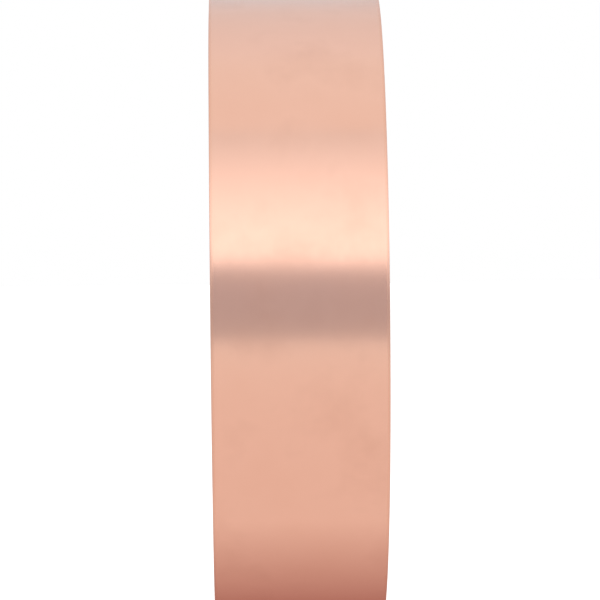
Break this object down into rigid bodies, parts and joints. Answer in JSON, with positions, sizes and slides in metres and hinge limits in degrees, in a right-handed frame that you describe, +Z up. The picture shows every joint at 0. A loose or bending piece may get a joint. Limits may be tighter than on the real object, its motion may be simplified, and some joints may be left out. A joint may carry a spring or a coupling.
{
  "type": "copper foil tape roll",
  "caption": "Roll of lined adhesive copper foil tape on a spiral-wound paperboard core, its free end held by a clear tab; the tail lifts, the tab and the liner flap peel.",
  "frame": {"origin": "middle of the core's bore", "axes": "+Y along the roll's axis, +Z up with the roll standing on its rim; the tail is at the upper back, on the -X side"},
  "size_m": [0.094, 0.0254, 0.0941],
  "materials": {
    "foil": "satin",
    "adhesive": "gloss",
    "liner": "satin",
    "core_facing": "matte",
    "core_board": "matte",
    "start_tape": "satin",
    "clear_film": "gloss"
  },
  "bodies": {
    "roll": {"core_bore_ply": "core_facing", "core_body_ply_1": "core_board", "core_body_ply_2": "core_board", "core_body_ply_3": "core_board", "core_body_ply_4": "core_board", "core_outer_ply": "core_facing", "start_tape": "start_tape", "liner_strip": "liner", "adhesive_strip": "adhesive", "foil_strip": "foil", "foil_outer_turn": "foil"},
    "tail": {"tail_foil": "foil", "tail_adhesive": "adhesive", "tail_liner": "liner"},
    "flap": {"liner_flap": "liner"},
    "tab": {"closure_tab": "clear_film"}
  },
  "joints": [
    {"name": "tail_lift", "type": "hinge", "parent": "roll", "child": "tail", "pos_m": [-0.0082, 0, 0.04636], "axis": [0, 1, 0], "range_deg": [0, 120]},
    {"name": "tab_peel", "type": "hinge", "parent": "tail", "child": "tab", "pos_m": [-0.03768, 0, 0.02847], "axis": [0, 1, 0], "range_deg": [0, 120]},
    {"name": "liner_peel", "type": "hinge", "parent": "tail", "child": "flap", "pos_m": [-0.03288, 0, 0.03363], "axis": [0, 1, 0], "range_deg": [-90, 0]}
  ],
  "couplings": [
    {"joint": "liner_peel", "follows": "tail_lift", "ratio": -0.75}
  ]
}
